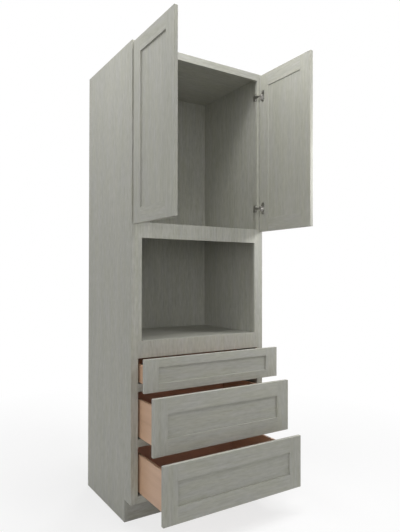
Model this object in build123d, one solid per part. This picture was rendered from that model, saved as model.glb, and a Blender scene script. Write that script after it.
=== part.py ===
from build123d import *
from math import sqrt
import os

os.makedirs("parts", exist_ok=True)

# Oven cabinet with a face frame: two doors above, an oven opening, three drawers and a toe kick.
# Millimetres. +X is right seen from the front, +Y points to the wall and +Z is up.
# The origin is on the back face at floor level, on the centre line.
# It is drawn with both doors open and the three drawers pulled out by different amounts.

# Overall size
cabinet_width = 838.2
cabinet_height = 2438.4
cabinet_depth = 609.6
toe_height = 114.3
toe_depth = 76.2

# Boards of the box
side_thickness = 16.0
back_thickness = 12.7
deck_thickness = 12.7
oven_deck_thickness = 19.05
oven_deck_drop = 8.0
toe_board_thickness = 12.7
dado_depth = 6.0
back_rabbet_depth = 8.0
cleat_thickness = 19.0
cleat_height = 38.0

# Face frame, with the heights of its rails and openings from the toe kick up
frame_thickness = 19.05
frame_stile_width = 38.1
bottom_rail_height = 38.1
lower_opening_height = 243.8
drawer_rail_height = 38.1
middle_opening_height = 238.8
upper_opening_height = 129.5
oven_bottom_rail_height = 86.4
oven_opening_height = 520.7
oven_top_rail_height = 78.7
top_rail_height = 38.1
oven_filler_width = 19.05

# Shaker doors and drawer fronts
front_thickness = 19.05
front_edge_radius = 1.5
front_gap = 3.0
front_overlay = 31.75
front_spacing = 6.35
spacing_drop = 2.0
door_stile_width = 76.2
door_rail_width = 76.2
shallow_rail_width = 41.0
front_recess = 9.5
panel_thickness = 6.35
panel_groove_depth = 9.5
panel_float = 0.8
door_pair_gap = 3.2
door_overlap_bottom = 12.7
door_overlap_top = 27.9
drawer_overlap_bottom = 12.7
drawer_overlap_top = 14.5

# Drawer boxes
box_side_clearance = 10.6
box_bottom_clearance = 6.7
lowest_drawer_lift = 5.2
box_board_thickness = 16.0
box_edge_radius = 3.0
box_length = 533.4
box_height_shallow = 88.9
box_height_deep = 190.5
box_bottom_thickness = 6.35
box_bottom_recess = 12.7
box_groove_depth = 6.0
box_bottom_float = 0.5

# Drawer slides under the boxes
slide_width = 36.0
slide_wall = 1.5
slide_running_gap = 0.4
slide_side_gap = 2.0
slide_lift = 1.5
slide_length = 533.4
slide_middle_length = 500.0
slide_cabinet_lip = 8.0
slide_drawer_lip = 10.5
slide_front_flange = 12.0
slide_notch_clearance = 1.0
slide_bracket_thickness = 2.0
slide_bracket_grip = 30.0
slide_bracket_below = 18.0
slide_bracket_above = 24.0
slide_bracket_ear = 8.0
slide_ratio = 0.5

# Hinges, one pivot each, with a cup in the door and an arm on the stile's inner edge
upper_hinge_inset = 125.0
lower_hinge_inset = 135.0
cup_radius = 17.5
cup_tab = 3.0
cup_bore_depth = 14.3
cup_wall = 0.8
cup_bore_clearance = 0.05
cup_flange_thickness = 1.2
cup_flange_rim = 1.8
cup_flange_height = 64.0
cup_flange_width = 24.0
cup_flange_offset = 11.0
cup_flange_corner = 5.0
cup_screw_spacing = 42.0
cup_screw_radius = 2.2
pin_radius = 1.25
pin_end_clearance = 0.1
pin_running_clearance = 0.05
pin_inset = 7.8
pin_depth = 10.5
arm_thickness = 2.4
arm_half_height = 5.0
arm_barrel_radius = 2.1
arm_plate_half_height = 19.5
arm_plate_margin = 2.0
arm_plate_overhang = 13.0
arm_screw_offset = 12.0
arm_screw_radius = 2.2

# How far each part is open as drawn
door_open_angle = 90.0
top_drawer_out = 114.4
middle_drawer_out = 207.6
bottom_drawer_out = 306.3

# Places that follow from the sizes
half_width = cabinet_width / 2
inner_half = half_width - side_thickness
frame_front = -cabinet_depth
frame_back = frame_front + frame_thickness
back_inner = -back_thickness
opening_half = half_width - frame_stile_width
oven_half = opening_half - oven_filler_width

lower_opening_z = toe_height + bottom_rail_height
lower_rail_z = lower_opening_z + lower_opening_height
middle_opening_z = lower_rail_z + drawer_rail_height
upper_rail_z = middle_opening_z + middle_opening_height
upper_opening_z = upper_rail_z + drawer_rail_height
oven_bottom_rail_z = upper_opening_z + upper_opening_height
oven_opening_z = oven_bottom_rail_z + oven_bottom_rail_height
oven_top_rail_z = oven_opening_z + oven_opening_height
door_opening_z = oven_top_rail_z + oven_top_rail_height
top_rail_z = cabinet_height - top_rail_height
oven_deck_top = oven_opening_z - oven_deck_drop
oven_deck_bottom = oven_deck_top - oven_deck_thickness

front_half = opening_half + front_overlay
fronts_back = frame_front - front_gap
fronts_face = fronts_back - front_thickness
door_width = front_half - door_pair_gap / 2
door_bottom = door_opening_z - door_overlap_bottom
door_height = top_rail_z + door_overlap_top - door_bottom
lower_gap_z = lower_rail_z + drawer_rail_height / 2 - spacing_drop
upper_gap_z = upper_rail_z + drawer_rail_height / 2 - spacing_drop

box_half = opening_half - box_side_clearance
box_inner_half = box_half - box_board_thickness
box_front = fronts_back
box_back = box_front + box_length
slide_outer = box_inner_half - slide_side_gap
slide_inner = slide_outer - slide_width

pin_x = -front_half + pin_inset
pin_y = fronts_back - pin_depth
pin_outer_offset = cup_tab + cup_radius - pin_inset + pin_radius
pin_half_length = sqrt(cup_radius**2 - pin_outer_offset**2) - pin_end_clearance
hinge_heights = [door_bottom + lower_hinge_inset, door_bottom + door_height - upper_hinge_inset]


def block(x0, x1, y0, y1, z0, z1):
    """A box between two corners."""
    corner = (Align.MIN, Align.MIN, Align.MIN)
    return Pos(x0, y0, z0) * Box(x1 - x0, y1 - y0, z1 - z0, align=corner)


def upright(radius, x, y, z0, z1):
    """A round bar along Z."""
    return Pos(x, y, (z0 + z1) / 2) * Cylinder(radius, z1 - z0)


def crosswise(radius, x0, x1, y, z):
    """A round bar along X."""
    bar = Rotation(0, 90, 0) * Cylinder(radius, x1 - x0)
    return Pos((x0 + x1) / 2, y, z) * bar


def depthwise(radius, x, y0, y1, z):
    """A round bar along Y."""
    bar = Rotation(90, 0, 0) * Cylinder(radius, y1 - y0)
    return Pos(x, (y0 + y1) / 2, z) * bar


def other_side(solid):
    """The same piece on the other side of the centre line."""
    return mirror(solid, about=Plane.YZ)


def both_sides(solid):
    """A piece and its mirror image."""
    return [solid, other_side(solid)]


def moved_y(solid, distance):
    """The piece shifted along Y, as a drawer moves."""
    return Pos(0, distance, 0) * solid


def save(name, *pieces):
    """Write one node, which holds one solid or several."""
    solids = [solid for piece in pieces for solid in piece.solids()]
    shape = solids[0] if len(solids) == 1 else Compound(solids)
    export_step(shape, f"parts/{name}.step")


# Box of the cabinet
def side_panel():
    """The left side: a plain board with a toe notch, dados for the decks and a rabbet for the back."""
    panel = block(-half_width, -inner_half, frame_back, 0, 0, cabinet_height)
    panel -= block(-half_width, -inner_half, frame_back, frame_front + toe_depth, 0, toe_height)
    dado_x = -inner_half - dado_depth
    for top in (cabinet_height, door_opening_z, toe_height + deck_thickness):
        panel -= block(dado_x, -inner_half, frame_back, back_inner, top - deck_thickness, top)
    panel -= block(-inner_half - back_rabbet_depth, -inner_half, back_inner, 0, 0, cabinet_height)
    return panel


def deck(top):
    """A deck or the top, held in the dados of both sides."""
    half = inner_half + dado_depth
    return block(-half, half, frame_back, back_inner, top - deck_thickness, top)


left_side = side_panel()
save("side_panel_left", left_side)
save("side_panel_right", other_side(left_side))
back_half = inner_half + back_rabbet_depth
save("back_panel", block(-back_half, back_half, back_inner, 0, 0, cabinet_height))
save("top_panel", deck(cabinet_height))
save("upper_deck", deck(door_opening_z))
save("bottom_deck", deck(toe_height + deck_thickness))
save("oven_deck", block(-inner_half, inner_half, frame_back, back_inner, oven_deck_bottom, oven_deck_top))
cleat_inner = inner_half - cleat_thickness
cleat_bottom = oven_deck_bottom - cleat_height
cleat = block(cleat_inner, inner_half, frame_back, back_inner, cleat_bottom, oven_deck_bottom)
save("oven_deck_cleats", *both_sides(cleat))
toe_face = frame_front + toe_depth
save("toe_board", block(-inner_half, inner_half, toe_face, toe_face + toe_board_thickness, 0, toe_height))


# Face frame
def frame_rail(bottom, height):
    """A rail between the two stiles."""
    return block(-opening_half, opening_half, frame_front, frame_back, bottom, bottom + height)


left_stile = block(-half_width, -opening_half, frame_front, frame_back, toe_height, cabinet_height)
save("frame_stile_left", left_stile)
save("frame_stile_right", other_side(left_stile))
save("frame_bottom_rail", frame_rail(toe_height, bottom_rail_height))
save("frame_lower_drawer_rail", frame_rail(lower_rail_z, drawer_rail_height))
save("frame_upper_drawer_rail", frame_rail(upper_rail_z, drawer_rail_height))
save("frame_oven_bottom_rail", frame_rail(oven_bottom_rail_z, oven_bottom_rail_height))
save("frame_oven_top_rail", frame_rail(oven_top_rail_z, oven_top_rail_height))
save("frame_top_rail", frame_rail(top_rail_z, top_rail_height))
filler = block(oven_half, opening_half, frame_front, frame_back, oven_opening_z, oven_top_rail_z)
save("oven_fillers", *both_sides(filler))


# Shaker fronts
def shaker_front(width, height, rail_width):
    """Two stiles, two rails and a flat panel, with the lower left front corner at the origin."""
    slab = block(0, width, 0, front_thickness, 0, height)
    slab = fillet(slab.edges(), front_edge_radius)
    groove_front = front_recess
    groove_back = front_recess + panel_thickness
    stile_edge = door_stile_width
    groove_floor = stile_edge - panel_groove_depth
    rail_groove_floor = rail_width - panel_groove_depth

    stile = slab & block(0, stile_edge, 0, front_thickness, 0, height)
    stile -= block(groove_floor, stile_edge, groove_front, groove_back, 0, height)
    rail = slab & block(stile_edge, width - stile_edge, 0, front_thickness, 0, rail_width)
    rail -= block(stile_edge, width - stile_edge, groove_front, groove_back, rail_groove_floor, rail_width)
    tongue = slab & block(groove_floor, stile_edge, groove_front, groove_back, 0, rail_groove_floor)
    middle = Plane((width / 2, 0, 0), x_dir=(0, 1, 0), z_dir=(1, 0, 0))
    centre = Plane((0, 0, height / 2), x_dir=(1, 0, 0), z_dir=(0, 0, 1))
    rail = rail + tongue + mirror(tongue, about=middle)
    side_reach = groove_floor + panel_float
    end_reach = rail_groove_floor + panel_float
    panel = block(side_reach, width - side_reach, groove_front, groove_back, end_reach, height - end_reach)
    return {
        "stiles": [stile, mirror(stile, about=middle)],
        "rails": [rail, mirror(rail, about=centre)],
        "panel": panel,
    }


# Hinge, for the left door when it is shut
cup_x = -front_half + cup_tab + cup_radius
arm_x = -opening_half
cup_floor_y = fronts_back - cup_bore_depth


def cup_bore(z):
    """The blind hole in the door's inner face."""
    return depthwise(cup_radius, cup_x, cup_floor_y, fronts_back, z)


def hinge_cup(z):
    """A pressed steel cup with a round rim and a screwed plate that ends in two wings."""
    outer_radius = cup_radius - cup_bore_clearance
    flange_face = fronts_back + cup_flange_thickness
    cup = depthwise(outer_radius, cup_x, cup_floor_y, fronts_back, z)
    cup += depthwise(cup_radius + cup_flange_rim, cup_x, fronts_back, flange_face, z)
    half_high = cup_flange_height / 2
    plate_x = cup_x + cup_flange_offset
    wing_x0 = plate_x - cup_flange_width / 2
    wing_x1 = plate_x + cup_flange_width / 2
    wings = block(wing_x0, wing_x1, fronts_back, flange_face, z - half_high, z + half_high)
    cup += fillet(wings.edges().filter_by(Axis.Y), cup_flange_corner)
    cup -= depthwise(outer_radius - cup_wall, cup_x, cup_floor_y + cup_wall, flange_face, z)
    for side in (-1, 1):
        screw_z = z + side * cup_screw_spacing / 2
        cup -= depthwise(cup_screw_radius, plate_x, fronts_back, flange_face, screw_z)
    cup -= upright(pin_radius + pin_running_clearance, pin_x, pin_y, z - cup_radius, z + cup_radius)
    return cup


def hinge_arm(z):
    """A bent steel arm: a barrel on the pin, a strip in the cup and a plate on the stile's inner edge.

    The plate runs on behind the face frame, and its screws are in the part that lies on the stile.
    """
    far_x = arm_x + arm_thickness
    deep_y = pin_y - arm_thickness
    plate_back = frame_back + arm_plate_overhang
    low = z - arm_half_height
    high = z + arm_half_height
    arm = upright(arm_barrel_radius, pin_x, pin_y, low, high)
    arm += block(pin_x, far_x, deep_y, pin_y, low, high)
    arm += block(arm_x, far_x, deep_y, plate_back, low, high)
    plate_front = frame_front + arm_plate_margin
    plate_low = z - arm_plate_half_height
    plate_high = z + arm_plate_half_height
    arm += block(arm_x, far_x, plate_front, plate_back, plate_low, plate_high)
    screw_y = (plate_front + frame_back) / 2
    for side in (-1, 1):
        screw_z = z + side * arm_screw_offset
        arm -= crosswise(arm_screw_radius, arm_x, far_x, screw_y, screw_z)
    arm -= upright(pin_radius, pin_x, pin_y, low, high)
    return arm


def hinge_pin(z):
    """The pin through the barrel, with its ends in the cup's wall."""
    return upright(pin_radius, pin_x, pin_y, z - pin_half_length, z + pin_half_length)


left_arms = [hinge_arm(z) for z in hinge_heights]
left_pins = [hinge_pin(z) for z in hinge_heights]
save("hinge_arms", *left_arms, *[other_side(arm) for arm in left_arms])
save("hinge_pins", *left_pins, *[other_side(pin) for pin in left_pins])


# Doors
pin_axis = Axis((pin_x, pin_y, 0), (0, 0, 1))
door_place = Pos(-front_half, fronts_face, door_bottom)
door_front = shaker_front(door_width, door_height, door_rail_width)
hinge_stile, free_stile = [door_place * stile for stile in door_front["stiles"]]
for hinge_z in hinge_heights:
    hinge_stile -= cup_bore(hinge_z)
bottom_rail, top_rail = [door_place * rail for rail in door_front["rails"]]
left_door = {
    "hinge_stile": [hinge_stile],
    "free_stile": [free_stile],
    "bottom_rail": [bottom_rail],
    "top_rail": [top_rail],
    "panel": [door_place * door_front["panel"]],
    "hinge_cups": [hinge_cup(z) for z in hinge_heights],
}
for piece_name, pieces in left_door.items():
    opened = [piece.rotate(pin_axis, -door_open_angle) for piece in pieces]
    save(f"door_left_{piece_name}", *opened)
    save(f"door_right_{piece_name}", *[other_side(piece) for piece in opened])


# Drawers
def box_side(bottom, height):
    """The right board of a drawer box, with a groove for the bottom and a rounded top edge."""
    top = bottom + height
    board = block(box_inner_half, box_half, box_front, box_back, bottom, top)
    board = fillet(board.edges().filter_by(Axis.Y).group_by(Axis.Z)[-1], box_edge_radius)
    groove_z = bottom + box_bottom_recess
    groove_x = box_inner_half + box_groove_depth
    groove_front = box_front + box_board_thickness - box_groove_depth
    groove_back = box_back - box_board_thickness + box_groove_depth
    groove_top = groove_z + box_bottom_thickness
    board -= block(box_inner_half, groove_x, groove_front, groove_back, groove_z, groove_top)
    return board


def box_end(front_face, groove_face, bottom, height):
    """A board between the sides, with a groove for the bottom on its inner face."""
    back_face = front_face + box_board_thickness
    board = block(-box_inner_half, box_inner_half, front_face, back_face, bottom, bottom + height)
    groove_z = bottom + box_bottom_recess
    board -= block(
        -box_inner_half,
        box_inner_half,
        groove_face,
        groove_face + box_groove_depth,
        groove_z,
        groove_z + box_bottom_thickness,
    )
    return board


def slide_notch(bottom):
    """The notch in the rear board that lets a slide pass under the drawer's bottom."""
    return block(
        slide_inner - slide_notch_clearance,
        slide_outer + slide_notch_clearance,
        box_back - box_board_thickness,
        box_back,
        bottom,
        bottom + box_bottom_recess,
    )


def drawer(name, seat_z, front_bottom, front_top, rail_width, box_height, out):
    """One drawer with its slides: the front, the box and three pairs of slide members.

    The box and the slides stand over the seat, which is the top of the rail below them or a little higher.
    """
    box_bottom = seat_z + box_bottom_clearance
    panel_under = box_bottom + box_bottom_recess
    inner_front = box_front + box_board_thickness

    front_place = Pos(-front_half, fronts_face, front_bottom)
    front = shaker_front(2 * front_half, front_top - front_bottom, rail_width)
    rear_face = box_back - box_board_thickness
    rear_board = box_end(rear_face, rear_face, box_bottom, box_height)
    for notch in both_sides(slide_notch(box_bottom)):
        rear_board -= notch
    front_board = box_end(box_front, inner_front - box_groove_depth, box_bottom, box_height)
    bottom_reach = box_groove_depth - box_bottom_float
    bottom_half = box_inner_half + bottom_reach
    box_bottom_panel = block(
        -bottom_half,
        bottom_half,
        inner_front - bottom_reach,
        rear_face + bottom_reach,
        panel_under,
        panel_under + box_bottom_thickness,
    )

    # The drawer member is a channel turned down over the middle member
    lip_bottom = panel_under - slide_drawer_lip
    channel_inner = slide_inner + slide_wall
    channel_outer = slide_outer - slide_wall
    channel_roof = panel_under - slide_wall
    drawer_member = block(slide_inner, slide_outer, inner_front, box_back, lip_bottom, panel_under)
    drawer_member -= block(channel_inner, channel_outer, inner_front, box_back, lip_bottom, channel_roof)

    # The middle member is a tube that runs in both channels
    middle_low = seat_z + slide_lift
    middle_high = channel_roof - slide_running_gap
    middle_inner = channel_inner + slide_running_gap
    middle_outer = channel_outer - slide_running_gap
    middle_back = frame_back + slide_middle_length
    middle_member = block(middle_inner, middle_outer, frame_back, middle_back, middle_low, middle_high)
    middle_member -= block(
        middle_inner + slide_wall,
        middle_outer - slide_wall,
        frame_back,
        middle_back,
        middle_low + slide_wall,
        middle_high - slide_wall,
    )

    # The cabinet member is a channel turned up, with a flange on the face frame and a bracket on the back
    floor_top = middle_low - slide_running_gap
    floor_under = floor_top - slide_wall
    rail_back = frame_back + slide_length
    lip_top = floor_under + slide_cabinet_lip
    cabinet_member = block(slide_inner, slide_outer, frame_back, rail_back, floor_under, lip_top)
    cabinet_member -= block(channel_inner, channel_outer, frame_back, rail_back, floor_top, lip_top)
    flange_low = floor_under - slide_front_flange
    flange_back = frame_back + slide_wall
    cabinet_member += block(slide_inner, slide_outer, frame_back, flange_back, flange_low, floor_top)
    grip_front = rail_back - slide_bracket_grip
    bracket_under = floor_under - slide_bracket_thickness
    bracket = block(slide_inner, slide_outer, grip_front, back_inner, bracket_under, floor_under)
    bracket += block(
        slide_inner - slide_bracket_ear,
        slide_outer + slide_bracket_ear,
        back_inner - slide_bracket_thickness,
        back_inner,
        floor_under - slide_bracket_below,
        floor_under + slide_bracket_above,
    )

    save(f"drawer_{name}_front_stiles", *[moved_y(front_place * stile, -out) for stile in front["stiles"]])
    save(f"drawer_{name}_front_rails", *[moved_y(front_place * rail, -out) for rail in front["rails"]])
    save(f"drawer_{name}_front_panel", moved_y(front_place * front["panel"], -out))
    save(f"drawer_{name}_box_sides", *both_sides(moved_y(box_side(box_bottom, box_height), -out)))
    save(f"drawer_{name}_box_ends", moved_y(front_board, -out), moved_y(rear_board, -out))
    save(f"drawer_{name}_box_bottom", moved_y(box_bottom_panel, -out))
    save(f"slide_{name}_drawer_members", *both_sides(moved_y(drawer_member, -out)))
    save(f"slide_{name}_middle_members", *both_sides(moved_y(middle_member, -out * slide_ratio)))
    save(f"slide_{name}_cabinet_members", *both_sides(cabinet_member), *both_sides(bracket))


half_spacing = front_spacing / 2
drawer(
    "bottom",
    lower_opening_z + lowest_drawer_lift,
    lower_opening_z - drawer_overlap_bottom,
    lower_gap_z - half_spacing,
    door_rail_width,
    box_height_deep,
    bottom_drawer_out,
)
drawer(
    "middle",
    middle_opening_z,
    lower_gap_z + half_spacing,
    upper_gap_z - half_spacing,
    door_rail_width,
    box_height_deep,
    middle_drawer_out,
)
drawer(
    "top",
    upper_opening_z,
    upper_gap_z + half_spacing,
    oven_bottom_rail_z + drawer_overlap_top,
    shallow_rail_width,
    box_height_shallow,
    top_drawer_out,
)
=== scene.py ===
"""Finishes a tall oven cabinet: grey-stained grain, maple drawer boxes, plated fittings and their screws.

The cabinet's boards, hinges and slides come as a fixed frame in metres, with +X right, +Y to the wall
and +Z up. This script gives every one of them its finish, adds the small hardware, and sets up the floor,
the lamps and the camera.
"""

from math import cos, radians, sin

import bpy
import numpy as np
from bpy.props import FloatProperty, FloatVectorProperty, IntProperty, PointerProperty
from bpy.types import Operator, Panel, PropertyGroup
from mathutils import Matrix, Vector


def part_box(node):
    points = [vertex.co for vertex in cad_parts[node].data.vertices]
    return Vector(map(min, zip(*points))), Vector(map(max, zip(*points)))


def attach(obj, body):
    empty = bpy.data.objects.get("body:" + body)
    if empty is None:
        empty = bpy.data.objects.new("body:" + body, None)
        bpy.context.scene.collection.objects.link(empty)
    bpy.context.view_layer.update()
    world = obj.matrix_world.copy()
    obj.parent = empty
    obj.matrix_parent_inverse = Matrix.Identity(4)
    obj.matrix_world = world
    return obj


bl_info = {
    "name": "Oven Cabinet Finish",
    "version": (1, 0, 0),
    "blender": (4, 5, 0),
    "location": "3D View > Sidebar > Oven Cabinet",
    "description": "Stains an oven cabinet's boards, plates its fittings and adds its screws and bumpers",
    "category": "Object",
}

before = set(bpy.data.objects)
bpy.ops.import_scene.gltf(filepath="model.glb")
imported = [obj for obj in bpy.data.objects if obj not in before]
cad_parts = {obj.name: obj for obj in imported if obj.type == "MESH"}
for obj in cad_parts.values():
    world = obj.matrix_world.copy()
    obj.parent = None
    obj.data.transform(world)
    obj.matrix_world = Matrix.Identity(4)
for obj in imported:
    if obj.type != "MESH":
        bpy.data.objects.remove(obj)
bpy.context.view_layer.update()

DOORS = ("left", "right")
DRAWERS = ("top", "middle", "bottom")
BOX_BOARD = 0.016


# Settings that a user would change


def colour(name, description, default):
    """A colour setting, in linear light."""
    return FloatVectorProperty(
        name=name, description=description, subtype="COLOR", size=3, min=0, max=1, default=default
    )


def length(name, description, default):
    """A length setting in metres."""
    return FloatProperty(name=name, description=description, default=default, min=0, unit="LENGTH")


def factor(name, description, default, highest=1):
    """A plain number setting."""
    return FloatProperty(name=name, description=description, default=default, min=0, max=highest)


class StainSettings(PropertyGroup):
    """The grey stain on the box, the face frame, the doors and the drawer fronts."""

    light_tone: colour("Light tone", "Stain on the smooth early wood", (0.465, 0.463, 0.422))
    dark_tone: colour("Dark tone", "Stain held by the open grain", (0.315, 0.315, 0.268))
    warmth: factor("Warmth", "How much the stain turns between warm and cool in its streaks", 0.03, 0.3)
    front_contrast: factor("Front contrast", "How strong the grain is on doors and drawer fronts", 0.75, 2)
    toe_tone: factor("Toe board tone", "How light the toe board is beside the rest", 0.9)
    streaks: factor("Streaks", "Streaks in a metre across the grain", 100, 1000)
    streak_length: length("Streak length", "Length of a streak along the grain", 0.36)
    pore_depth: length("Pore depth", "Depth of the open pores", 0.00012)
    roughness: factor("Roughness", "Roughness of the satin top coat", 0.46)
    gloss: factor("Gloss", "Strength of the top coat's reflection", 0.25)


class MapleSettings(PropertyGroup):
    """The clear-coated maple of the drawer boxes, with a lighter, redder copy on the ends and bottoms as
    painted bounce light.
    """

    light_tone: colour("Light tone", "Pale bands of the maple", (0.665, 0.44, 0.295))
    dark_tone: colour("Dark tone", "Darker bands of the maple", (0.53, 0.33, 0.215))
    # Painted bounce light: the ends and bottoms get a lighter, redder copy of the maple to stand in for
    # the warm light that bounces round inside the boxes.
    inner_bounce_light_tone: colour("Inner light tone", "Pale bands of the ends and bottoms", (0.77, 0.50, 0.37))
    inner_bounce_dark_tone: colour("Inner dark tone", "Darker bands of the ends and bottoms", (0.61, 0.38, 0.275))
    roughness: factor("Roughness", "Roughness of the clear coat", 0.38)


class FittingSettings(PropertyGroup):
    """Plated fittings and the small hardware."""

    nickel: colour("Nickel", "Colour of the hinges", (0.66, 0.65, 0.63))
    zinc: colour("Zinc", "Colour of the slides and their screws", (0.60, 0.61, 0.63))
    lock_plastic: colour("Lock plastic", "Colour of the slide locks", (0.16, 0.165, 0.17))
    bumper_plastic: colour("Bumper plastic", "Colour of the clear bumpers", (0.80, 0.80, 0.78))
    hinge_screw: length("Hinge screw head", "Diameter of the hinge screws' heads", 0.0066)
    front_screw: length("Front screw head", "Diameter of the screws that hold the drawer fronts", 0.0115)
    bumper: length("Bumper", "Diameter of a bumper", 0.009)
    bumper_height: length("Bumper height", "How far a bumper stands out", 0.0027)
    head_sides: IntProperty(
        name="Screw head sides", description="Points round a screw head", default=48, min=16, max=96
    )


class StageSettings(PropertyGroup):
    """The floor, the lamps and the sky."""

    floor: colour("Floor", "Colour of the floor", (0.9, 0.9, 0.9))
    floor_bounce: colour("Floor bounce", "How light the floor is to what stands on it", (0.71, 0.71, 0.71))
    floor_glow: factor("Floor glow", "Share of plain white in the floor near the cabinet", 0.75)
    floor_shade: length("Floor shade", "How far from the cabinet's middle its shadow starts to fade", 0.8)
    floor_fade: length("Floor fade", "How far from the cabinet's middle the floor is plain white", 2.6)
    side_lamp: factor("Side lamp", "Power of the lamp beside the left side, in watts", 5.3, 2000)
    door_lamp: factor("Door lamp", "Power of the lamp over the doors, in watts", 24.0, 2000)
    right_lamp: factor("Right lamp", "Power of the lamp beside the right door, in watts", 15.3, 2000)
    front_lamp: factor("Front lamp", "Power of the lamp in front on the left, in watts", 6.6, 2000)
    back_lamp: factor("Back lamp", "Power of the low lamp behind on the right, in watts", 62.0, 2000)
    top_lamp: factor("Top lamp", "Power of the lamp high above the drawers, in watts", 195.0, 2000)
    sky_front: factor("Sky in front", "Light from low in front", 0.41, 20)
    sky_corner: factor("Sky at the corner", "Light from low in front on the left", 0.72, 20)
    sky_left: factor("Sky on the left", "Light from low on the left", 0.82, 20)
    sky_spread: FloatProperty(
        name="Sky spread",
        description="How wide each part of the sky is",
        subtype="ANGLE",
        default=radians(60),
    )


# Materials


def new_material(name):
    """A material with one Principled shader, and its node tree and shader."""
    material = bpy.data.materials.new(name)
    material.use_nodes = True
    tree = material.node_tree
    tree.nodes.clear()
    output = tree.nodes.new("ShaderNodeOutputMaterial")
    shader = tree.nodes.new("ShaderNodeBsdfPrincipled")
    tree.links.new(shader.outputs["BSDF"], output.inputs["Surface"])
    return material, tree, shader


def object_place(tree):
    """Coordinates in the cabinet's own frame, in metres."""
    return tree.nodes.new("ShaderNodeTexCoord").outputs["Object"]


def noise_texture(tree, place, scale, offset, detail, roughness):
    """A noise node with its own number of cells in a metre along X, Y and Z."""
    mapping = tree.nodes.new("ShaderNodeMapping")
    mapping.inputs["Scale"].default_value = scale
    mapping.inputs["Location"].default_value = offset
    tree.links.new(place, mapping.inputs["Vector"])
    texture = tree.nodes.new("ShaderNodeTexNoise")
    texture.inputs["Scale"].default_value = 1.0
    texture.inputs["Detail"].default_value = detail
    texture.inputs["Roughness"].default_value = roughness
    tree.links.new(mapping.outputs["Vector"], texture.inputs["Vector"])
    return texture


def noise(tree, place, scale, offset, detail, roughness=0.55):
    """Noise of 0 to 1."""
    return noise_texture(tree, place, scale, offset, detail, roughness).outputs["Fac"]


def math(tree, operation, first, second=0.0, third=0.0):
    """One Math node. Each input is a socket or a number."""
    node = tree.nodes.new("ShaderNodeMath")
    node.operation = operation
    for socket, value in zip(node.inputs, (first, second, third)):
        if isinstance(value, (int, float)):
            socket.default_value = value
        else:
            tree.links.new(value, socket)
    return node.outputs["Value"]


def spread(tree, value, low, high):
    """The value stretched so that low becomes 0 and high becomes 1, and held to that range."""
    node = tree.nodes.new("ShaderNodeMapRange")
    node.inputs["From Min"].default_value = low
    node.inputs["From Max"].default_value = high
    tree.links.new(value, node.inputs["Value"])
    return node.outputs["Result"]


def blend_colours(tree, share, first, second):
    """A colour between two others, each a socket or plain red, green and blue."""
    node = tree.nodes.new("ShaderNodeMix")
    node.data_type = "RGBA"
    tree.links.new(share, node.inputs["Factor"])
    for name, value in (("A", first), ("B", second)):
        socket = next(s for s in node.inputs if s.name == name and s.type == "RGBA")
        if isinstance(value, bpy.types.NodeSocket):
            tree.links.new(value, socket)
        else:
            socket.default_value = (*value, 1)
    return next(s for s in node.outputs if s.type == "RGBA")


def vary_roughness(tree, shader, pattern, middle, span):
    """Roughness that a pattern of 0 to 1 moves over a span round its middle."""
    roughness = math(tree, "MULTIPLY_ADD", pattern, span, middle - span / 2)
    tree.links.new(roughness, shader.inputs["Roughness"])


def add_bump(tree, shader, height, depth):
    """Relief from a height of 0 to 1 that is this deep in metres."""
    bump = tree.nodes.new("ShaderNodeBump")
    bump.inputs["Distance"].default_value = depth
    tree.links.new(height, bump.inputs["Height"])
    tree.links.new(bump.outputs["Normal"], shader.inputs["Normal"])


def along_grain(axis, across, along):
    """Cells in a metre along X, Y and Z for a board whose grain runs along one of them."""
    return [along if name == axis else across for name in "XYZ"]


def wavy_place(tree, place, axis, offset, sway=0.007, waves=2.4):
    """Coordinates shifted by slow noise, so that the grain's lines aren't straight."""
    scale = along_grain(axis, waves * 1.6, waves)
    texture = noise_texture(tree, place, scale, offset, detail=2, roughness=0.5)
    shift = tree.nodes.new("ShaderNodeVectorMath")
    shift.operation = "MULTIPLY_ADD"
    shift.inputs[1].default_value = (sway, sway, sway)
    tree.links.new(texture.outputs["Color"], shift.inputs[0])
    tree.links.new(place, shift.inputs[2])
    return shift.outputs["Vector"]


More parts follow.
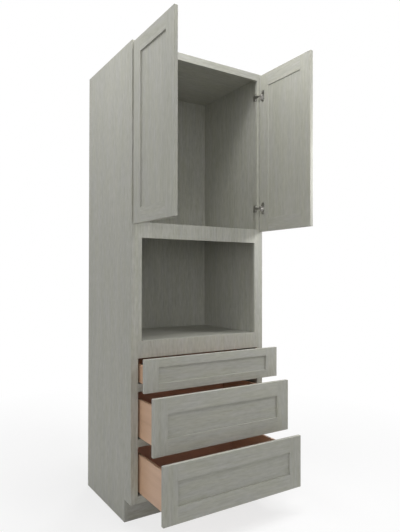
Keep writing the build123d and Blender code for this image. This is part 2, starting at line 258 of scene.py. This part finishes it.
def stained_wood(name, axis, seed, tone=1.0, contrast=1.0):
    """Grey stain over open-grained wood.

    Broad bands, streaks, short dashes and fine lines all run along the grain, and dark pores are
    sunk into it. The seed shifts every pattern, so that no two boards match.
    """
    settings = bpy.context.scene.cabinet_stain
    offset = (3.1 * seed, 1.7 * seed, 2.3 * seed)
    material, tree, shader = new_material(name)
    place = wavy_place(tree, object_place(tree), axis, offset)
    streaks = settings.streaks
    along = 1 / settings.streak_length
    bands = noise(tree, place, along_grain(axis, streaks / 9, along / 3), offset, detail=2)
    strokes = noise(tree, place, along_grain(axis, streaks, along), offset, detail=5, roughness=0.62)
    dashes = noise(tree, place, along_grain(axis, streaks * 1.1, along * 8), offset, detail=2)
    lines = noise(tree, place, along_grain(axis, streaks * 5, along * 4), offset, detail=3)
    pores = noise(tree, place, along_grain(axis, streaks * 13, along * 16), offset, detail=2)
    pore_mask = spread(tree, pores, 0.60, 0.72)

    # The start brings the sum of the four layers' middles back to 0.5
    tone_sum = -1.2
    for layer, weight in ((bands, 0.4), (strokes, 1.0), (dashes, 1.2), (lines, 0.8), (pore_mask, -0.3)):
        tone_sum = math(tree, "MULTIPLY_ADD", layer, weight, tone_sum)
    half_range = 0.5 / contrast
    share = spread(tree, tone_sum, 0.5 - half_range, 0.5 + half_range)
    tones = []
    for coolness in (1 - settings.warmth, 1 + settings.warmth):
        dark, light = (
            (red * tone, green * tone, blue * tone * coolness)
            for red, green, blue in (settings.dark_tone, settings.light_tone)
        )
        tones.append(blend_colours(tree, share, dark, light))
    hue = noise(tree, place, along_grain(axis, streaks / 3, along * 2), offset[::-1], detail=2)
    stain = blend_colours(tree, spread(tree, hue, 0.35, 0.65), *tones)
    tree.links.new(stain, shader.inputs["Base Color"])

    vary_roughness(tree, shader, lines, settings.roughness, span=0.14)
    shader.inputs["Specular IOR Level"].default_value = settings.gloss
    relief = math(tree, "MULTIPLY_ADD", pore_mask, -0.7, lines)
    add_bump(tree, shader, relief, settings.pore_depth)
    return material


def maple(name, axis, seed, dark_tone, light_tone):
    """Clear-coated maple: pale, close-grained, with faint bands and short flecks."""
    settings = bpy.context.scene.cabinet_maple
    offset = (2.9 * seed, 4.3 * seed, 1.1 * seed)
    material, tree, shader = new_material(name)
    place = wavy_place(tree, object_place(tree), axis, offset, sway=0.012, waves=3.0)
    bands = noise(tree, place, along_grain(axis, across=26, along=1.4), offset, detail=4)
    flecks = noise(tree, place, along_grain(axis, across=700, along=60), offset, detail=2)
    fleck_weight = 0.35
    tone_sum = math(tree, "MULTIPLY_ADD", flecks, fleck_weight, bands)
    tones = blend_colours(tree, spread(tree, tone_sum, 0.35, 1.0), dark_tone, light_tone)
    tree.links.new(tones, shader.inputs["Base Color"])
    vary_roughness(tree, shader, flecks, settings.roughness, span=0.1)
    add_bump(tree, shader, flecks, depth=0.00004)
    return material


def darker(tint, share):
    """A colour at a share of its brightness."""
    return [value * share for value in tint]


def plated_steel(name, tint, roughness, seed):
    """Plated sheet steel with a faint mottle and fine rolling marks."""
    offset = (1.9 * seed, 2.7 * seed, 3.3 * seed)
    material, tree, shader = new_material(name)
    place = object_place(tree)
    mottle = noise(tree, place, (90, 90, 90), offset, detail=3)
    marks = noise(tree, place, along_grain("Y", across=1500, along=60), offset, detail=2)
    tones = blend_colours(tree, spread(tree, mottle, 0.3, 0.7), darker(tint, 0.86), tint)
    tree.links.new(tones, shader.inputs["Base Color"])
    shader.inputs["Metallic"].default_value = 1.0
    vary_roughness(tree, shader, marks, roughness, span=0.16)
    add_bump(tree, shader, marks, depth=0.00002)
    return material


def moulded_plastic(name, tint, roughness, seed, clear=0.0):
    """Moulded plastic with a fine eggshell skin, solid or clear."""
    offset = (3.7 * seed, 1.3 * seed, 2.1 * seed)
    material, tree, shader = new_material(name)
    skin = noise(tree, object_place(tree), (1800, 1800, 1800), offset, detail=2)
    tones = blend_colours(tree, skin, darker(tint, 0.9), tint)
    tree.links.new(tones, shader.inputs["Base Color"])
    shader.inputs["Transmission Weight"].default_value = clear
    vary_roughness(tree, shader, skin, roughness, span=0.1)
    add_bump(tree, shader, skin, depth=0.00002)
    return material


def finish_node(node, material):
    """Give a board or fitting its material."""
    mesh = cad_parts[node].data
    mesh.materials.clear()
    mesh.materials.append(material)


# Shapes


def superellipse(angles, power):
    """Outline between a circle (power 2) and a square: a signed power of cosine and sine."""
    x = np.sign(np.cos(angles)) * np.abs(np.cos(angles)) ** (2 / power)
    y = np.sign(np.sin(angles)) * np.abs(np.sin(angles)) ** (2 / power)
    return x, y


def closed_shell(rings):
    """A skin over rings of points (rings, sides, 3), joined in order and closed by a fan at each end."""
    count, sides = rings.shape[:2]
    start = rings[0].mean(axis=0)
    end = rings[-1].mean(axis=0)
    points = np.vstack([rings.reshape(-1, 3), start, end])
    row, column = np.meshgrid(np.arange(count - 1), np.arange(sides), indexing="ij")
    following = (column + 1) % sides
    quads = np.stack(
        [
            row * sides + column,
            row * sides + following,
            (row + 1) * sides + following,
            (row + 1) * sides + column,
        ],
        axis=-1,
    ).reshape(-1, 4)
    side = np.arange(sides)
    after = (side + 1) % sides
    last = (count - 1) * sides
    first_fan = np.stack([after, side, np.full(sides, count * sides)], axis=-1)
    last_fan = np.stack([last + side, last + after, np.full(sides, count * sides + 1)], axis=-1)
    return points, quads, np.vstack([first_fan, last_fan])


def copies(points, quads, triangles, places, turns):
    """A shape repeated: each turn is a 3 x 3 matrix about the shape's origin, and each place a point."""
    turned = np.einsum("kij,nj->kni", np.asarray(turns, float), points)
    moved = turned + np.asarray(places, float)[:, None, :]
    steps = (np.arange(len(moved)) * len(points))[:, None, None]
    return moved.reshape(-1, 3), (quads + steps).reshape(-1, 4), (triangles + steps).reshape(-1, 3)


def facing(direction):
    """The turn that takes +Z to a direction, as a 3 x 3 matrix."""
    return np.array(Vector(direction).to_track_quat("Z", "Y").to_matrix())


def add_piece(name, shape, body, material):
    """A smooth mesh piece with its material, riding on a body."""
    points, quads, triangles = shape
    mesh = bpy.data.meshes.new(name)
    mesh.from_pydata(points.tolist(), [], quads.tolist() + triangles.tolist())
    mesh.shade_smooth()
    mesh.materials.append(material)
    piece = bpy.data.objects.new(name, mesh)
    bpy.context.scene.collection.objects.link(piece)
    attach(piece, body)


def screw_head(diameter, height, sides):
    """A pan head with a crossed recess, seated on z = 0.

    Rings of points at growing, then shrinking radius: up the round edge and over a shallow dome.
    The recess is a smooth step of the distance to the nearer arm of a cross, and it ends before the rim.
    Its sizes are shares of the head's radius, and its depth and the dome's fall are shares of the height.
    """
    dome_fall = 0.28
    recess_depth = 0.72
    arm_half_width = 0.17
    arm_side = 0.09
    arm_reach = 0.66
    arm_end = 0.16
    radius = diameter / 2
    angles = np.linspace(0, 2 * np.pi, sides, endpoint=False)
    edge = np.linspace(0, np.pi / 2, 6)
    edge_radii = radius * (0.86 + 0.14 * np.cos(edge))
    edge_heights = height * (0.35 + 0.45 * np.sin(edge))
    inner_radii = radius * np.linspace(0.80, 0.02, 14)
    radii = np.concatenate([[radius * 0.97, radius], edge_radii[1:], inner_radii])
    heights = np.concatenate([[0, height * 0.12], edge_heights[1:], np.zeros(len(inner_radii))])
    x = radii[:, None] * np.cos(angles)
    y = radii[:, None] * np.sin(angles)
    z = np.repeat(heights[:, None], sides, axis=1)
    inside = len(radii) - len(inner_radii)
    fall = (radii[inside:, None] / radius) ** 2
    dome = height * (1.0 - dome_fall * fall)
    beside = np.minimum(np.abs(x[inside:]), np.abs(y[inside:])) / radius
    outward = np.hypot(x[inside:], y[inside:]) / radius
    side_cut = np.clip((arm_half_width - beside) / arm_side, 0, 1)
    end_cut = np.clip((arm_reach - outward) / arm_end, 0, 1)
    cut = side_cut * end_cut
    smooth = cut * cut * (3 - 2 * cut)
    z[inside:] = dome - height * recess_depth * smooth
    return closed_shell(np.stack([x, y, z], axis=-1))


def bumper_dome(diameter, height, sides):
    """A flat-backed dome: the profile is a quarter of a superellipse turned about Z."""
    angles = np.linspace(0, 2 * np.pi, sides, endpoint=False)
    rise = np.linspace(0, np.pi / 2, 9)[:-1]
    outline, lift = superellipse(rise, power=2.6)
    radii = diameter / 2 * outline
    heights = height * lift
    x = radii[:, None] * np.cos(angles)
    y = radii[:, None] * np.sin(angles)
    z = np.repeat(heights[:, None], sides, axis=1)
    return closed_shell(np.stack([x, y, z], axis=-1))


def rounded_bar(stations, sides=32):
    """A bar along Y whose sections are superellipses: (y, x, z, half width, half height, power) each."""
    y, x, z, half_width, half_height, power = np.asarray(stations, float).T
    angles = np.linspace(0, 2 * np.pi, sides, endpoint=False)
    outline = [superellipse(angles, value) for value in power]
    across = np.array([pair[0] for pair in outline])
    up = np.array([pair[1] for pair in outline])
    points = np.stack(
        [
            x[:, None] + half_width[:, None] * across,
            np.repeat(y[:, None], sides, axis=1),
            z[:, None] + half_height[:, None] * up,
        ],
        axis=-1,
    )
    return closed_shell(points)


# Operators, one for each group of like pieces


def stain_boards(grains, tone=1.0, contrast=1.0):
    """Stain each named board with its grain along its own axis."""
    for node, axis in grains.items():
        seed = 1 + sorted(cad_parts).index(node)
        finish_node(node, stained_wood(f"stain_{node}", axis, seed, tone, contrast))
    return {"FINISHED"}


class CABINET_OT_stain_box(Operator):
    """Stain the sides, back, decks and toe board"""

    bl_idname = "cabinet.stain_box"
    bl_label = "Stain the Box"

    def execute(self, context):
        stain_boards({"side_panel_left": "Z", "side_panel_right": "Z", "back_panel": "Z"})
        stain_boards({"top_panel": "X", "upper_deck": "X", "oven_deck": "X", "bottom_deck": "X"})
        stain_boards({"oven_deck_cleats": "Y"})
        return stain_boards({"toe_board": "X"}, context.scene.cabinet_stain.toe_tone)


class CABINET_OT_stain_face_frame(Operator):
    """Stain the stiles, the rails and the strips beside the oven"""

    bl_idname = "cabinet.stain_face_frame"
    bl_label = "Stain the Face Frame"

    def execute(self, context):
        return stain_boards(
            {
                "frame_stile_left": "Z",
                "frame_stile_right": "Z",
                "frame_bottom_rail": "X",
                "frame_lower_drawer_rail": "X",
                "frame_upper_drawer_rail": "X",
                "frame_oven_bottom_rail": "Z",
                "frame_oven_top_rail": "Z",
                "frame_top_rail": "X",
                "oven_fillers": "Z",
            }
        )


class CABINET_OT_stain_doors(Operator):
    """Stain the stiles, rails and panels of both doors"""

    bl_idname = "cabinet.stain_doors"
    bl_label = "Stain the Doors"

    def execute(self, context):
        for side in DOORS:
            stain_boards(
                {
                    f"door_{side}_hinge_stile": "Z",
                    f"door_{side}_free_stile": "Z",
                    f"door_{side}_top_rail": "Y",
                    f"door_{side}_bottom_rail": "Y",
                    f"door_{side}_panel": "Z",
                },
                contrast=context.scene.cabinet_stain.front_contrast,
            )
        return {"FINISHED"}


class CABINET_OT_stain_drawer_fronts(Operator):
    """Stain the stiles, rails and panels of the drawer fronts"""

    bl_idname = "cabinet.stain_drawer_fronts"
    bl_label = "Stain the Drawer Fronts"

    def execute(self, context):
        for name in DRAWERS:
            stain_boards(
                {
                    f"drawer_{name}_front_stiles": "Z",
                    f"drawer_{name}_front_rails": "X",
                    f"drawer_{name}_front_panel": "X",
                },
                contrast=context.scene.cabinet_stain.front_contrast,
            )
        return {"FINISHED"}


class CABINET_OT_coat_drawer_boxes(Operator):
    """Give the drawer boxes their clear-coated maple"""

    bl_idname = "cabinet.coat_drawer_boxes"
    bl_label = "Coat the Drawer Boxes"

    def execute(self, context):
        settings = context.scene.cabinet_maple
        outer = (settings.dark_tone, settings.light_tone)
        # The inner tones are painted bounce light that brightens and reddens the insides of the boxes.
        inner_bounce_tones = (settings.inner_bounce_dark_tone, settings.inner_bounce_light_tone)
        seed = 0
        for name in DRAWERS:
            for part, axis, tones in (("sides", "Y", outer), ("ends", "X", inner_bounce_tones), ("bottom", "X", inner_bounce_tones)):
                seed += 1
                finish_node(f"drawer_{name}_box_{part}", maple(f"maple_{name}_{part}", axis, seed, *tones))
        return {"FINISHED"}


class CABINET_OT_plate_slides(Operator):
    """Give the drawer slides their zinc plating"""

    bl_idname = "cabinet.plate_slides"
    bl_label = "Plate the Slides"

    def execute(self, context):
        zinc = context.scene.cabinet_fittings.zinc
        for number, name in enumerate(DRAWERS, start=1):
            steel = plated_steel(f"zinc_{name}", zinc, roughness=0.36, seed=number)
            for member in ("drawer", "middle", "cabinet"):
                finish_node(f"slide_{name}_{member}_members", steel)
        return {"FINISHED"}


class CABINET_OT_plate_hinges(Operator):
    """Give the hinges their nickel plating"""

    bl_idname = "cabinet.plate_hinges"
    bl_label = "Plate the Hinges"

    def execute(self, context):
        nickel = context.scene.cabinet_fittings.nickel
        steel = plated_steel("nickel_hinges", nickel, roughness=0.28, seed=5)
        for node in ("hinge_arms", "hinge_pins", "door_left_hinge_cups", "door_right_hinge_cups"):
            finish_node(node, steel)
        return {"FINISHED"}


def hinge_heights():
    """The height of each hinge, from the ends of the cups' wings."""
    low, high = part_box("door_left_hinge_cups")
    half_wing = 0.032
    return low.z + half_wing, high.z - half_wing


class CABINET_OT_add_hinge_screws(Operator):
    """Add the screws of the hinge cups and arms"""

    bl_idname = "cabinet.add_hinge_screws"
    bl_label = "Add Hinge Screws"

    def execute(self, context):
        settings = context.scene.cabinet_fittings
        height_share = 0.19
        head = screw_head(settings.hinge_screw, settings.hinge_screw * height_share, settings.head_sides)
        steel = plated_steel("nickel_screws", settings.nickel, roughness=0.24, seed=9)
        cup_spacing = 0.042
        half_plate = 0.012
        arm_spacing = 0.024
        arm_thickness = 0.0024
        for side, sign in (("left", 1), ("right", -1)):
            low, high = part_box(f"door_{side}_hinge_cups")
            face_x = high.x if sign > 0 else low.x
            plate_y = low.y + half_plate
            places = [
                (face_x, plate_y, z + step * cup_spacing / 2) for z in hinge_heights() for step in (-1, 1)
            ]
            turns = [facing((sign, 0, 0))] * len(places)
            shape = copies(*head, places, turns)
            add_piece(f"cup_screws_{side}", shape, f"door_{side}", steel)

        frame_low, frame_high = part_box("frame_stile_left")
        plate_x = abs(frame_high.x) - arm_thickness
        plate_margin = 0.002
        plate_y = (frame_low.y + plate_margin + frame_high.y) / 2
        places = [
            (sign * plate_x, plate_y, z + step * arm_spacing / 2)
            for sign in (-1, 1)
            for z in hinge_heights()
            for step in (-1, 1)
        ]
        turns = [facing((-np.sign(place[0]), 0, 0)) for place in places]
        add_piece("arm_screws", copies(*head, places, turns), "cabinet", steel)
        return {"FINISHED"}


class CABINET_OT_add_front_screws(Operator):
    """Add the washer-head screws that hold each drawer front"""

    bl_idname = "cabinet.add_front_screws"
    bl_label = "Add Front Screws"

    def execute(self, context):
        settings = context.scene.cabinet_fittings
        height_share = 0.22
        head = screw_head(settings.front_screw, settings.front_screw * height_share, settings.head_sides)
        steel = plated_steel("zinc_front_screws", settings.zinc, roughness=0.3, seed=12)
        inset_x = 0.11
        spread_share = 0.24
        least_spread = 0.03
        lift = 0.008
        for name in DRAWERS:
            low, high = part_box(f"drawer_{name}_box_ends")
            middle_z = (low.z + high.z) / 2
            spread_z = (high.z - low.z) * spread_share
            heights = (middle_z + lift,)
            if spread_z > least_spread:
                heights = (middle_z - spread_z, middle_z + spread_z)
            inner_y = low.y + BOX_BOARD
            places = [(x, inner_y, z) for x in (low.x + inset_x, high.x - inset_x) for z in heights]
            turns = [facing((0, 1, 0))] * len(places)
            shape = copies(*head, places, turns)
            add_piece(f"front_screws_{name}", shape, f"drawer_{name}", steel)
        return {"FINISHED"}


class CABINET_OT_add_bracket_screws(Operator):
    """Add the screws that hold the slides' rear brackets to the back panel"""

    bl_idname = "cabinet.add_bracket_screws"
    bl_label = "Add Bracket Screws"

    def execute(self, context):
        settings = context.scene.cabinet_fittings
        diameter = 0.008
        height = 0.0022
        head = screw_head(diameter, height, settings.head_sides)
        steel = plated_steel("zinc_bracket_screws", settings.zinc, roughness=0.3, seed=15)
        ear_inset = 0.004
        ear_spacing = 0.044
        top_inset = 0.006
        spacing_z = 0.0294
        bracket_plate = 0.002
        places = []
        for name in DRAWERS:
            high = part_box(f"slide_{name}_cabinet_members")[1]
            ear_x = high.x - ear_inset
            top_z = high.z - top_inset
            places += [
                (sign * x, high.y - bracket_plate, z)
                for sign in (-1, 1)
                for x in (ear_x, ear_x - ear_spacing)
                for z in (top_z, top_z - spacing_z)
            ]
        turns = [facing((0, -1, 0))] * len(places)
        add_piece("bracket_screws", copies(*head, places, turns), "cabinet", steel)
        return {"FINISHED"}


class CABINET_OT_add_bumpers(Operator):
    """Add the clear bumpers behind the drawer fronts"""

    bl_idname = "cabinet.add_bumpers"
    bl_label = "Add Bumpers"

    def execute(self, context):
        settings = context.scene.cabinet_fittings
        sides = 32
        dome = bumper_dome(settings.bumper, settings.bumper_height, sides)
        plastic = moulded_plastic(
            "clear_bumper", settings.bumper_plastic, roughness=0.2, seed=3, clear=0.75
        )
        inset = 0.014
        for name in DRAWERS:
            low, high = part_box(f"drawer_{name}_front_stiles")
            places = [
                (x, high.y, z)
                for z in (low.z + inset, high.z - inset)
                for x in (low.x + inset, high.x - inset)
            ]
            shape = copies(*dome, places, [facing((0, 1, 0))] * len(places))
            add_piece(f"bumpers_drawer_{name}", shape, f"drawer_{name}", plastic)
        return {"FINISHED"}


class CABINET_OT_add_slide_locks(Operator):
    """Add the locks that hold each drawer box on its slides"""

    bl_idname = "cabinet.add_slide_locks"
    bl_label = "Add Slide Locks"

    def execute(self, context):
        settings = context.scene.cabinet_fittings
        plastic = moulded_plastic("lock_plastic", settings.lock_plastic, roughness=0.5, seed=6)
        slide_width = 0.036
        beside_slide = 0.0145
        gap = 0.0008
        drop = 0.0058
        for name in DRAWERS:
            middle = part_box(f"slide_{name}_drawer_members")[1].x - slide_width - beside_slide
            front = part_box(f"drawer_{name}_box_ends")[0].y + BOX_BOARD + gap
            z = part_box(f"drawer_{name}_box_bottom")[0].z - drop
            # A flat body behind the front board, then a thin lever
            body = rounded_bar(
                [
                    (front, 0, z, 0.004, 0.002, 4),
                    (front + 0.0004, 0, z, 0.0125, 0.005, 5),
                    (front + 0.020, 0, z, 0.0135, 0.0052, 6),
                    (front + 0.034, 0, z, 0.0135, 0.0052, 6),
                    (front + 0.044, 0, z + 0.0012, 0.0095, 0.0040, 5),
                    (front + 0.058, 0, z + 0.0018, 0.0070, 0.0032, 4),
                    (front + 0.0586, 0, z + 0.0018, 0.002, 0.001, 4),
                ]
            )
            places = [(middle, 0, 0), (-middle, 0, 0)]
            shape = copies(*body, places, [np.eye(3)] * 2)
            add_piece(f"slide_locks_{name}", shape, f"drawer_{name}", plastic)
        return {"FINISHED"}


# Stage


def add_light(name, data, place, direction):
    """A light at a place that shines in a direction."""
    light = bpy.data.objects.new(name, data)
    turn = Vector(direction).to_track_quat("-Z", "Y").to_matrix().to_4x4()
    light.matrix_world = Matrix.Translation(place) @ turn
    bpy.context.scene.collection.objects.link(light)


def lamp(name, place, target, size, power):
    """A soft square lamp that points at a target."""
    data = bpy.data.lights.new(name, "AREA")
    data.shape = "SQUARE"
    data.size = size
    data.energy = power
    add_light(name, data, place, Vector(target) - Vector(place))


def sky_patch(name, towards, strength, spread_angle):
    """A wide, even patch of sky, seen towards a direction."""
    data = bpy.data.lights.new(name, "SUN")
    data.angle = spread_angle
    data.energy = strength
    add_light(name, data, (0, 0, 0), -Vector(towards))


def seen_directly(tree):
    """1 for rays from the camera, a mirror or clear plastic, and 0 for the light that falls on things."""
    path = tree.nodes.new("ShaderNodeLightPath")
    seen = math(tree, "MAXIMUM", path.outputs["Is Camera Ray"], path.outputs["Is Glossy Ray"])
    return math(tree, "MAXIMUM", seen, path.outputs["Is Transmission Ray"])


def paint_floor(material, settings):
    """A pale floor whose seen part is partly plain white, and wholly so away from the cabinet.

    The rest of it is lit, so that the cabinet's shadow stays.
    """
    tree = material.node_tree
    tree.nodes.clear()
    output = tree.nodes.new("ShaderNodeOutputMaterial")
    seen = seen_directly(tree)
    diffuse = tree.nodes.new("ShaderNodeBsdfDiffuse")
    tone = blend_colours(tree, seen, settings.floor_bounce, settings.floor)
    tree.links.new(tone, diffuse.inputs["Color"])
    glow = tree.nodes.new("ShaderNodeEmission")
    glow.inputs["Color"].default_value = (1, 1, 1, 1)
    distance = tree.nodes.new("ShaderNodeVectorMath")
    distance.operation = "LENGTH"
    tree.links.new(object_place(tree), distance.inputs[0])
    away = spread(tree, distance.outputs["Value"], settings.floor_shade, settings.floor_fade)
    share = math(tree, "MULTIPLY_ADD", away, 1 - settings.floor_glow, settings.floor_glow)
    mix = tree.nodes.new("ShaderNodeMixShader")
    tree.links.new(math(tree, "MULTIPLY", seen, share), mix.inputs["Fac"])
    tree.links.new(diffuse.outputs["BSDF"], mix.inputs[1])
    tree.links.new(glow.outputs["Emission"], mix.inputs[2])
    tree.links.new(mix.outputs["Shader"], output.inputs["Surface"])


def paint_sky(world):
    """A sky that is plain white where it is seen and dark to what the lamps light."""
    world.use_nodes = True
    tree = world.node_tree
    tree.nodes.clear()
    output = tree.nodes.new("ShaderNodeOutputWorld")
    background = tree.nodes.new("ShaderNodeBackground")
    background.inputs["Color"].default_value = (1, 1, 1, 1)
    tree.links.new(seen_directly(tree), background.inputs["Strength"])
    tree.links.new(background.outputs["Background"], output.inputs["Surface"])


def place_camera(scene):
    """The camera, with its place and angles worked out from the cabinet's edges in the photograph."""
    place = Vector((-1.46245, -2.88492, 1.25829))
    yaw = radians(32.496)
    pitch = radians(0.501)
    roll = radians(0.106)
    forward = Vector((sin(yaw) * cos(pitch), cos(yaw) * cos(pitch), sin(pitch)))
    level_right = Vector((cos(yaw), -sin(yaw), 0))
    level_up = level_right.cross(forward)
    right = level_right * cos(roll) + level_up * sin(roll)
    up = level_up * cos(roll) - level_right * sin(roll)
    data = bpy.data.cameras.new("camera")
    data.sensor_fit = "VERTICAL"
    data.sensor_height = 36
    data.lens = 33.678
    data.shift_x = -0.00032
    data.shift_y = 0.00939
    camera = bpy.data.objects.new("camera", data)
    turn = Matrix((right, up, -forward)).transposed().to_4x4()
    camera.matrix_world = Matrix.Translation(place) @ turn
    scene.collection.objects.link(camera)
    scene.camera = camera


class CABINET_OT_set_stage(Operator):
    """Set up the floor, the sky, the lamps and the camera"""

    bl_idname = "cabinet.set_stage"
    bl_label = "Set the Stage"

    def execute(self, context):
        scene = context.scene
        settings = scene.cabinet_stage
        scene.view_settings.view_transform = "Standard"

        half_floor = 12.0
        floor_mesh = bpy.data.meshes.new("floor")
        corners = [(x * half_floor, y * half_floor, 0) for x, y in ((-1, -1), (1, -1), (1, 1), (-1, 1))]
        floor_mesh.from_pydata(corners, [], [(0, 1, 2, 3)])
        floor = bpy.data.objects.new("floor", floor_mesh)
        material = bpy.data.materials.new("floor")
        material.use_nodes = True
        paint_floor(material, settings)
        floor_mesh.materials.append(material)
        scene.collection.objects.link(floor)

        world = bpy.data.worlds.new("sky")
        scene.world = world
        paint_sky(world)
        lamp("side_lamp", (-1.2, -0.4, 2.7), (-0.3, -0.5, 1.5), 0.7, settings.side_lamp)
        lamp("door_lamp", (-0.2, -1.25, 3.4), (0.3, -0.7, 1.8), 0.7, settings.door_lamp)
        lamp("right_lamp", (1.2, -1.6, 2.0), (0.1, -0.6, 1.4), 0.5, settings.right_lamp)
        lamp("front_lamp", (-1.5, -3.1, 1.5), (0, -0.6, 1.2), 0.9, settings.front_lamp)
        lamp("back_lamp", (1.7, 2.6, 1.5), (0.1, -0.1, 1.1), 1.2, settings.back_lamp)
        lamp("top_lamp", (0.1, -0.7, 8.0), (0.1, -0.8, 0.6), 1.2, settings.top_lamp)
        sky_patch("sky_front", (-0.35, -0.92, 0.15), settings.sky_front, settings.sky_spread)
        sky_patch("sky_corner", (-0.7, -0.7, 0.1), settings.sky_corner, settings.sky_spread)
        sky_patch("sky_left", (-1.0, -0.1, 0.1), settings.sky_left, settings.sky_spread)
        place_camera(scene)
        return {"FINISHED"}


class CABINET_PT_sidebar(Panel):
    """Settings and steps of the oven cabinet"""

    bl_idname = "CABINET_PT_sidebar"
    bl_label = "Oven Cabinet"
    bl_space_type = "VIEW_3D"
    bl_region_type = "UI"
    bl_category = "Oven Cabinet"

    def draw(self, context):
        for group in SETTINGS:
            settings = getattr(context.scene, group)
            box = self.layout.box()
            for name in settings.bl_rna.properties.keys():
                if name not in ("name", "rna_type"):
                    box.prop(settings, name)
        for operator in OPERATORS:
            self.layout.operator(operator.bl_idname)


SETTINGS = {
    "cabinet_stain": StainSettings,
    "cabinet_maple": MapleSettings,
    "cabinet_fittings": FittingSettings,
    "cabinet_stage": StageSettings,
}

OPERATORS = (
    CABINET_OT_stain_box,
    CABINET_OT_stain_face_frame,
    CABINET_OT_stain_doors,
    CABINET_OT_stain_drawer_fronts,
    CABINET_OT_coat_drawer_boxes,
    CABINET_OT_plate_slides,
    CABINET_OT_plate_hinges,
    CABINET_OT_add_hinge_screws,
    CABINET_OT_add_front_screws,
    CABINET_OT_add_bracket_screws,
    CABINET_OT_add_bumpers,
    CABINET_OT_add_slide_locks,
    CABINET_OT_set_stage,
)


def register():
    """Make the settings, the steps and the sidebar known."""
    for group in SETTINGS.values():
        bpy.utils.register_class(group)
    for name, group in SETTINGS.items():
        setattr(bpy.types.Scene, name, PointerProperty(type=group))
    for operator in OPERATORS:
        bpy.utils.register_class(operator)
    bpy.utils.register_class(CABINET_PT_sidebar)


def unregister():
    """Take away what register made known."""
    bpy.utils.unregister_class(CABINET_PT_sidebar)
    for operator in reversed(OPERATORS):
        bpy.utils.unregister_class(operator)
    for name, group in SETTINGS.items():
        delattr(bpy.types.Scene, name)
        bpy.utils.unregister_class(group)


def main():
    """Finish the cabinet step by step."""
    register()
    bpy.ops.cabinet.stain_box()
    bpy.ops.cabinet.stain_face_frame()
    bpy.ops.cabinet.stain_doors()
    bpy.ops.cabinet.stain_drawer_fronts()
    bpy.ops.cabinet.coat_drawer_boxes()
    bpy.ops.cabinet.plate_slides()
    bpy.ops.cabinet.plate_hinges()
    bpy.ops.cabinet.add_hinge_screws()
    bpy.ops.cabinet.add_front_screws()
    bpy.ops.cabinet.add_bracket_screws()
    bpy.ops.cabinet.add_bumpers()
    bpy.ops.cabinet.add_slide_locks()
    bpy.ops.cabinet.set_stage()


if __name__ == "__main__":
    main()
